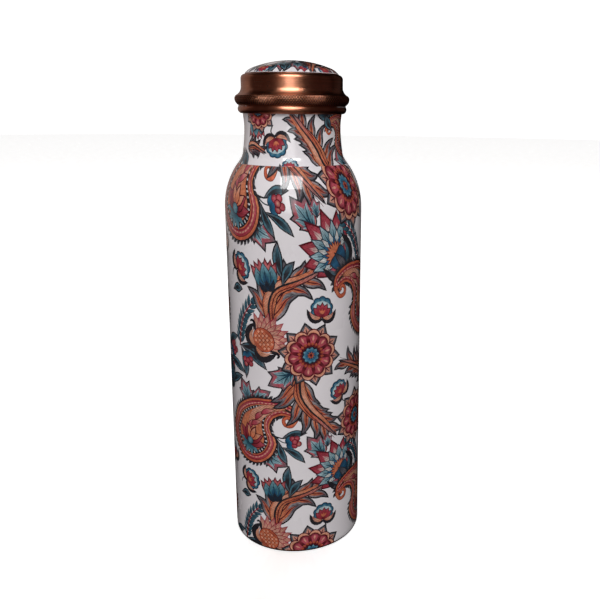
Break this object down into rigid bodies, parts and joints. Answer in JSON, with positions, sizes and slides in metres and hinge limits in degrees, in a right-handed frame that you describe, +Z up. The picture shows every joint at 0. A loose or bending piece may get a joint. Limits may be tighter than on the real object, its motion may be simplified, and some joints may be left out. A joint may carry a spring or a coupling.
{
  "type": "water bottle",
  "caption": "Printed copper water bottle with a narrow neck, a rolled collar, and a screw cap with a knurled copper bead and a printed dome.",
  "frame": {"origin": "centre of the foot, on the surface that the bottle stands on", "axes": "+Z up along the bottle's axis, towards the cap; -Y towards the viewer of the printed front"},
  "size_m": [0.073, 0.073, 0.2639],
  "materials": {
    "copper": "satin",
    "copper_base": "satin",
    "copper_inside": "satin",
    "body_print": "gloss",
    "neck_print": "gloss",
    "dome_print": "gloss",
    "silicone": "satin"
  },
  "bodies": {
    "bottle": {"body_shell": "copper_inside", "base_cup": "copper_base", "neck_thread_ring": "copper_inside", "neck_collar": "copper", "body_print": "body_print", "neck_print": "neck_print"},
    "seal": {"cap_gasket": "silicone"},
    "cap": {"cap_skirt": "copper", "cap_thread_ring": "copper_inside", "cap_liner": "copper_inside", "cap_dome": "copper_inside", "dome_print": "dome_print"}
  },
  "joints": [
    {"name": "cap_lift", "type": "slide", "parent": "bottle", "child": "seal", "axis": [0, 0, 1], "range_m": [0, 0.014]},
    {"name": "cap_turn", "type": "hinge", "parent": "seal", "child": "cap", "pos_m": [0, 0, 0.25], "axis": [0, 0, 1], "range_deg": [0, 1260]}
  ],
  "couplings": [
    {"joint": "cap_lift", "follows": "cap_turn", "m_per_rad": 0.00063662}
  ]
}
